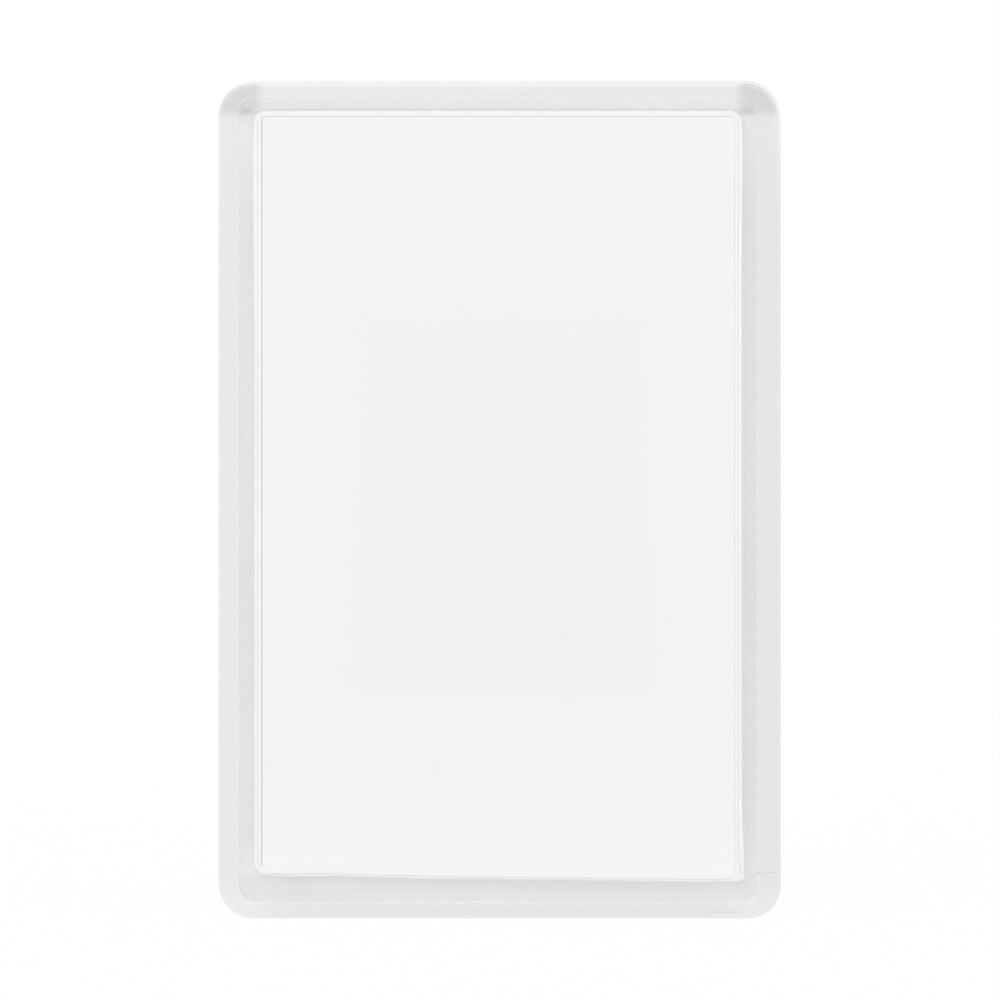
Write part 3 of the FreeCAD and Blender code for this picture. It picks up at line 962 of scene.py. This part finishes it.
def make_white_plastic():
    """White moulded plastic with a satin surface, and painted shade and light on its flange."""
    material, tree, shader, place = new_material("white_plastic")
    first_level, second_level = WHITE_LEVELS
    flow = use(tree, GRAIN, Place=place, Size=6.0, Stretch=(1.0, 1.0, 0.3))
    flowing = rising(tree, flow, FLOW_SPAN)
    colour = mix_colours(tree, flowing, grey(first_level), grey(second_level))
    parts = add(tree, "SeparateXYZ", {0: place}).outputs
    forward = product(tree, parts["Y"], -1.0)
    raised = rising(tree, forward, FLANGE_REACH)
    # Painted shade and light go on the flange and its rear, not on the platform in front
    shading = mix_values(tree, raised, flange_shade(tree, parts), 1.0)
    colour = mix(tree, "RGBA", 1.0, colour, shading, blend_type="MULTIPLY")
    specks = use(tree, SPECKS, Place=place, Spacing=3.0, Share=0.12)
    tree.links.new(mix_colours(tree, specks, colour, grey(SPECK_LEVEL)), shader.inputs["Base Color"])
    grain = use(tree, GRAIN, Place=place, Size=0.12)
    roughness = maths(tree, "MULTIPLY_ADD", grain, GRAIN_ROUGHNESS, WHITE_ROUGHNESS)
    tree.links.new(roughness, shader.inputs["Roughness"])
    bump(tree, shader, grain, GRAIN_HEIGHT)
    return material


# Flexible magnet and adhesive film

RUBBER_COLOURS = ((0.034, 0.030, 0.028, 1.0), (0.058, 0.051, 0.047, 1.0))
SCUFF_COLOUR = (0.13, 0.12, 0.115, 1.0)
SCUFF_STRENGTH = 0.2
DUST_COLOUR = (0.4, 0.38, 0.36, 1.0)
DUST_STRENGTH = 0.6
RUBBER_ROUGHNESS = 0.45
PIT_ROUGHNESS = 0.25
PIT_SHARE = 0.5
RUBBER_HEIGHT = 0.02
FILM_COLOUR = (0.8, 0.79, 0.75, 1.0)
AIR_COLOUR = (0.88, 0.87, 0.84, 1.0)
FILM_ROUGHNESS = 0.4
FILM_HEIGHT = 0.01


def make_ferrite_rubber():
    """Flexible magnet: dark brown rubber with rolling lines, light scuffs and dust."""
    material, tree, shader, place = new_material("flexible_magnet")
    lines = use(tree, GRAIN, Place=place, Size=0.5, Stretch=(1.0, 1.0, 0.02))
    pits = use(tree, GRAIN, Place=place, Size=0.15)
    scuffs = use(tree, SCRATCHES, Place=place, Stretch=(0.12, 1.0, 2.2), Size=2.6, Share=0.16)
    dust = use(tree, SPECKS, Place=place, Spacing=1.2, Share=0.2)
    colour = mix_colours(tree, lines, *RUBBER_COLOURS)
    colour = mix_colours(tree, product(tree, scuffs, SCUFF_STRENGTH), colour, SCUFF_COLOUR)
    colour = mix_colours(tree, product(tree, dust, DUST_STRENGTH), colour, DUST_COLOUR)
    tree.links.new(colour, shader.inputs["Base Color"])
    roughness = maths(tree, "MULTIPLY_ADD", pits, PIT_ROUGHNESS, RUBBER_ROUGHNESS)
    tree.links.new(roughness, shader.inputs["Roughness"])
    bump(tree, shader, maths(tree, "ADD", lines, product(tree, pits, PIT_SHARE)), RUBBER_HEIGHT)
    return material


def make_adhesive_film():
    """Clear-white adhesive film with small trapped bubbles."""
    material, tree, shader, place = new_material("adhesive_film")
    bubbles = use(tree, SPECKS, Place=place, Spacing=1.5, Share=0.35)
    tree.links.new(mix_colours(tree, bubbles, FILM_COLOUR, AIR_COLOUR), shader.inputs["Base Color"])
    shader.inputs["Roughness"].default_value = FILM_ROUGHNESS
    bump(tree, shader, bubbles, FILM_HEIGHT)
    return material


CLEAR = make_clear_plastic()
CARD = make_white_card()
WHITE = make_white_plastic()
RUBBER = make_ferrite_rubber()
FILM = make_adhesive_film()

# The pieces


def add_bubble(mesh, right, up, depth, size):
    """A small flattened bubble of air in the plastic. Returns its faces."""
    middle = put(Vector((right, up)), depth)
    made = bmesh.ops.create_icosphere(mesh, subdivisions=BUBBLE_FINENESS, radius=size * MM)
    for vertex in made["verts"]:
        vertex.co = Vector((vertex.co.x, vertex.co.y * BUBBLE_FLATNESS, vertex.co.z)) + middle
    return faces_of(made["verts"])


def add_crack(mesh, points, half_width):
    """A hairline crack under the front face: a thin channel of air. Returns its faces."""
    rings = []
    last = len(points) - 1
    for i, point in enumerate(points):
        ahead = (Vector(points[min(i + 1, last)]) - Vector(points[max(i - 1, 0)])).normalized()
        side = Vector((-ahead.y, ahead.x))
        size = half_width * (CRACK_END_SHARE if i in (0, last) else 1.0)
        ring = []
        for step in range(CRACK_FACETS):
            turn = 2 * math.pi * step / CRACK_FACETS
            across = Vector(point) + side * (size * math.cos(turn))
            ring.append(put(across, CRACK_DEPTH + size * CRACK_FLATNESS * math.sin(turn)))
        rings.append(ring)
    loops = closed_skin(mesh, rings)
    return faces_of(vertex for loop in loops for vertex in loop)


def cover_rings():
    """Rings of the cover, from its front face round the outside and into its cavity."""
    gate_stops = [GATE_SPAN[0] - GATE_END, GATE_SPAN[0], GATE_SPAN[1], GATE_SPAN[1] + GATE_END]
    extra = (SHORT_STOPS, LONG_STOPS, SHORT_STOPS + gate_stops, LONG_STOPS)
    stops = snap_stops(GROOVE_HALF, GROOVE_END, extra)
    outer = rectangle(*COVER_EDGES)
    inner = rectangle(*CAVITY_EDGES)
    mouth = rectangle(*CAVITY_MOUTH)
    inner_radii = [CAVITY_RADIUS] * 4
    rings = []
    for inset, depth in front_round(COVER_FRONT_ROUND, FRONT):
        rings.append(at_depth(outline(outer, COVER_RADII, inset, stops), depth))
    for depth, height in low_step(GATE_DEPTHS, GATE_SLOPE, GATE_HEIGHT):
        points = outline(outer, COVER_RADII, 0.0, stops)
        rings.append(at_depth(push(points, {"top": [GATE_SPAN]}, height), depth))
    for inset, depth in rear_round(COVER_REAR_ROUND, COVER_REAR):
        rings.append(at_depth(outline(outer, COVER_RADII, inset, stops), depth))
    for inset, depth in reversed(rear_round(MOUTH_ROUND, COVER_REAR)):
        rings.append(at_depth(outline(mouth, inner_radii, -inset, stops), depth))
    for depth, cut in low_step(GROOVE_DEPTHS, GROOVE_SLOPE, GROOVE_CUT):
        points = outline(mouth, inner_radii, 0.0, stops)
        rings.append(at_depth(push(points, snap_spans(GROOVE_HALF), cut), depth))
    for inset, depth in ((0.0, PLATE_REAR - CAVITY_BEVEL), (CAVITY_BEVEL, PLATE_REAR)):
        rings.append(at_depth(outline(inner, inner_radii, inset, stops), depth))
    return rings


def make_cover():
    """The clear cover, with its bubbles and cracks."""
    mesh = bmesh.new()
    closed_skin(mesh, cover_rings())
    voids = set()
    for bubble in BUBBLES:
        voids |= add_bubble(mesh, *bubble)
    for points, half_width in zip(CRACKS, CRACK_HALF_WIDTHS):
        voids |= add_crack(mesh, points, half_width)
    piece("clear_cover", mesh, CLEAR, "cover", "front_cover", voids)


def make_card():
    """The blank card, cut a little unevenly along its lower edge."""
    profile = front_round(CARD_FRONT_ROUND, RIM_FRONT) + rear_round(CARD_REAR_ROUND, CARD_REAR)
    mesh = bmesh.new()
    closed_skin(mesh, [at_depth(platform_outline(*CARD_SIDES, inset), depth) for inset, depth in profile])
    piece("blank_card", mesh, CARD, "card", "photo_card")


def platform_rings():
    """Rings of the platform, from the recess for the card over the rim and down to the flange."""
    rings = []
    for inset, rise in RECESS_CURVE:
        rings.append(at_depth(platform_outline(*RECESS_SIDES, inset), RECESS_FLOOR + rise))
    for inset, depth in reversed(front_round(RECESS_ROUND, RIM_FRONT)):
        rings.append(at_depth(platform_outline(*RECESS_SIDES, -inset), depth))
    for sides, cut in LINE_RINGS:
        rings.append(cut_in(platform_outline(*sides), RIM_FRONT, cut, on_line))
    for sides, cut in SLIT_RINGS:
        rings.append(cut_in(platform_outline(*sides), RIM_FRONT, cut, on_slit))
    for inset, depth in front_round(PLATFORM_ROUND, RIM_FRONT):
        rings.append(at_depth(bulged(platform_outline(*PLATFORM_SIDES, inset)), depth))
    for outset, rise in FOOT_CURVE:
        points = bulged(platform_outline(*PLATFORM_SIDES, -outset))
        rings.append(cut_in(points, FLANGE_FRONT + rise, FOOT_CUT, on_top))
    rings.append(at_depth(bulged(platform_outline(*PLATFORM_SIDES, -FOOT_END)), FLANGE_FRONT))
    return rings


def flange_rings():
    """Rings of the flange's edge, from its front over the snap beads to its rear."""
    corners = rectangle(*FLANGE_EDGES)
    radii = [FLANGE_RADIUS] * 4
    stops = snap_stops(BEAD_HALF, BEAD_END, (NOTCH_STOPS, (), (), ()))
    rings = []
    for inset, depth in front_round(FLANGE_FRONT_ROUND, FLANGE_FRONT):
        rings.append(at_depth(outline(corners, radii, inset, stops), depth))
    for depth, height in BEAD_PROFILE:
        points = push(outline(corners, radii, 0.0, stops), snap_spans(BEAD_HALF), height)
        if depth < NOTCH_CEILING:
            notched(points)
        rings.append(at_depth(points, depth))
    for inset, depth in rear_round(FLANGE_REAR_ROUND, FLANGE_REAR):
        rings.append(at_depth(notched(outline(corners, radii, inset, stops)), depth))
    return rings


def add_hollow(mesh, left, right, bottom, top, marked=True):
    """A hollow in the insert's rear, with or without an ejector mark. Returns its mouth."""
    corners = rectangle(left, right, bottom, top)
    radii = [HOLLOW_RADIUS] * 4
    walls = []
    for inset, depth in reversed(rear_round(FLANGE_REAR_ROUND, FLANGE_REAR)):
        walls.append(at_depth(outline(corners, radii, -inset), depth))
    for inset, depth in reversed(front_round(HOLLOW_ROUND, HOLLOW_FLOOR)):
        walls.append(at_depth(outline(corners, radii, inset), depth))
    loops = skin(mesh, walls)
    if marked:
        middle = (corners[0] + corners[2]) / 2
        depths = (HOLLOW_FLOOR, HOLLOW_FLOOR + EJECTOR_CUT)
        mark = skin(mesh, [
            at_depth(circle(middle, radius, EJECTOR_STEPS), depth)
            for radius, depth in zip(EJECTOR_RADII, depths)
        ])
        mesh.faces.new(mark[-1])
        fill_between(mesh, loops[-1], mark[0])
    else:
        mesh.faces.new(loops[-1])
    return loops[0]


def make_insert():
    """The white insert: a platform with a rim around the card, a flange, and hollows in its rear."""
    mesh = bmesh.new()
    platform = skin(mesh, platform_rings())
    mesh.faces.new(platform[0])
    flange = skin(mesh, flange_rings())
    fill_between(mesh, flange[0], platform[-1])
    mouths = [add_hollow(mesh, *SEAT_EDGES, marked=False)]
    for left, right, bottom, top in RIGHT_HOLLOWS:
        mouths.append(add_hollow(mesh, left, right, bottom, top))
        mouths.append(add_hollow(mesh, -right, -left, bottom, top))
    fill_between(mesh, flange[-1], *mouths)
    piece("white_insert", mesh, WHITE, "back", "back_insert")


def make_magnet():
    """The flexible magnet in its seat."""
    corners = rectangle(*MAGNET_EDGES)
    radii = [MAGNET_RADIUS] * 4
    profile = front_round(MAGNET_ROUND, MAGNET_FRONT) + rear_round(MAGNET_ROUND, MAGNET_REAR)
    mesh = bmesh.new()
    closed_skin(mesh, [at_depth(outline(corners, radii, inset), depth) for inset, depth in profile])
    piece("flexible_magnet", mesh, RUBBER, "back", "magnet_sheet")


make_cover()
make_card()
make_insert()
make_magnet()
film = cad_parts["magnet_adhesive"]
film.data.materials.clear()
film.data.materials.append(FILM)

# Floor, light and camera

# The lamp's place and size, the floor's half side and the nearest place seen are in metres, and
# the lamp's power is in watts. The floor's glow grows to its full level between two distances.

FLOOR_LEVEL = COVER_EDGES[2]
FLOOR_HALF = 2.0
FLOOR_LEVELS = (0.93, 0.95)
FLOOR_ROUGHNESS = 0.8
GLOW_NEAR = 0.93
GLOW_SPAN = (150.0, 900.0)
WHITE_LEVEL = 1.0
AMBIENT = 0.945
STUDIO_SPAN = (0.1, 0.9)
LAMP_PLACE = (-0.3, -1.2, 0.75)
LAMP_SIZE = 0.9
LAMP_POWER = 1.9
PIXELS_PER_MM = 8.789
PICTURE_SIDE = 1000
LENS = 200.0
NEAREST_SEEN = 0.01
CAMERA_RIGHT = 0.26
CAMERA_UP = -0.085


def make_floor():
    """A pale floor, which the camera sees as white apart from the frame's shadow."""
    material, tree, shader, place = new_material("pale_floor")
    first_level, second_level = FLOOR_LEVELS
    mottle = use(tree, GRAIN, Place=place, Size=40.0)
    colour = mix_colours(tree, mottle, grey(first_level), grey(second_level))
    tree.links.new(colour, shader.inputs["Base Color"])
    shader.inputs["Roughness"].default_value = FLOOR_ROUGHNESS
    path = add(tree, "LightPath").outputs
    seen = maths(tree, "MAXIMUM", path["Is Camera Ray"], path["Is Transmission Ray"])
    seen = maths(tree, "MAXIMUM", seen, path["Is Glossy Ray"])
    glow = add(tree, "Emission", {"Color": grey(1.0), "Strength": WHITE_LEVEL})
    share = product(tree, seen, ramp(tree, length(tree, place), *GLOW_SPAN, GLOW_NEAR, 1.0))
    finish_with(tree, share, shader, glow)
    mesh = bmesh.new()
    corners = rectangle(-FLOOR_HALF, FLOOR_HALF, -FLOOR_HALF, FLOOR_HALF)
    mesh.faces.new([mesh.verts.new((*corner, FLOOR_LEVEL * MM)) for corner in corners])
    data = bpy.data.meshes.new("floor")
    mesh.to_mesh(data)
    mesh.free()
    data.materials.append(material)
    floor = bpy.data.objects.new("floor", data)
    bpy.context.scene.collection.objects.link(floor)


def make_world():
    """White where the camera looks, a soft studio in reflections, and plain ambient light."""
    world = bpy.data.worlds.new("studio")
    world.use_nodes = True
    bpy.context.scene.world = world
    tree = world.node_tree
    tree.nodes.clear()
    path = add(tree, "LightPath").outputs
    direction = add(tree, "SeparateXYZ", {0: add(tree, "TexCoord").outputs["Generated"]}).outputs
    reflected = ramp(tree, direction["Z"], *STUDIO_SPAN, WHITE_LEVEL, AMBIENT)
    level = mix_values(tree, path["Is Glossy Ray"], AMBIENT, reflected)
    seen = maths(tree, "MAXIMUM", path["Is Camera Ray"], path["Is Transmission Ray"])
    level = mix_values(tree, seen, level, WHITE_LEVEL)
    sky = add(tree, "Background", {"Color": grey(1.0), "Strength": level})
    add(tree, "OutputWorld", {"Surface": sky.outputs[0]})


def make_lamp():
    """A square lamp that shines at the middle of the frame."""
    lamp = bpy.data.lights.new("key_lamp", "AREA")
    lamp.shape = "SQUARE"
    lamp.size = LAMP_SIZE
    lamp.energy = LAMP_POWER
    made = bpy.data.objects.new("key_lamp", lamp)
    bpy.context.scene.collection.objects.link(made)
    made.location = LAMP_PLACE
    made.rotation_euler = Vector(LAMP_PLACE).to_track_quat("Z", "Y").to_euler()
    made.visible_camera = False


def make_camera():
    """A camera straight in front, whose picture has its scale where the cover is widest."""
    data = bpy.data.cameras.new("camera")
    data.lens = LENS
    data.clip_start = NEAREST_SEEN
    made = bpy.data.objects.new("camera", data)
    bpy.context.scene.collection.objects.link(made)
    distance = PICTURE_SIDE / PIXELS_PER_MM * LENS / data.sensor_width
    widest = FRONT - COVER_FRONT_ROUND[0]
    made.location = Vector((CAMERA_RIGHT, -(distance + widest), CAMERA_UP)) * MM
    made.rotation_euler = (math.radians(90), 0, 0)
    bpy.context.scene.camera = made


make_floor()
make_world()
make_lamp()
make_camera()
bpy.context.scene.view_settings.view_transform = "Standard"
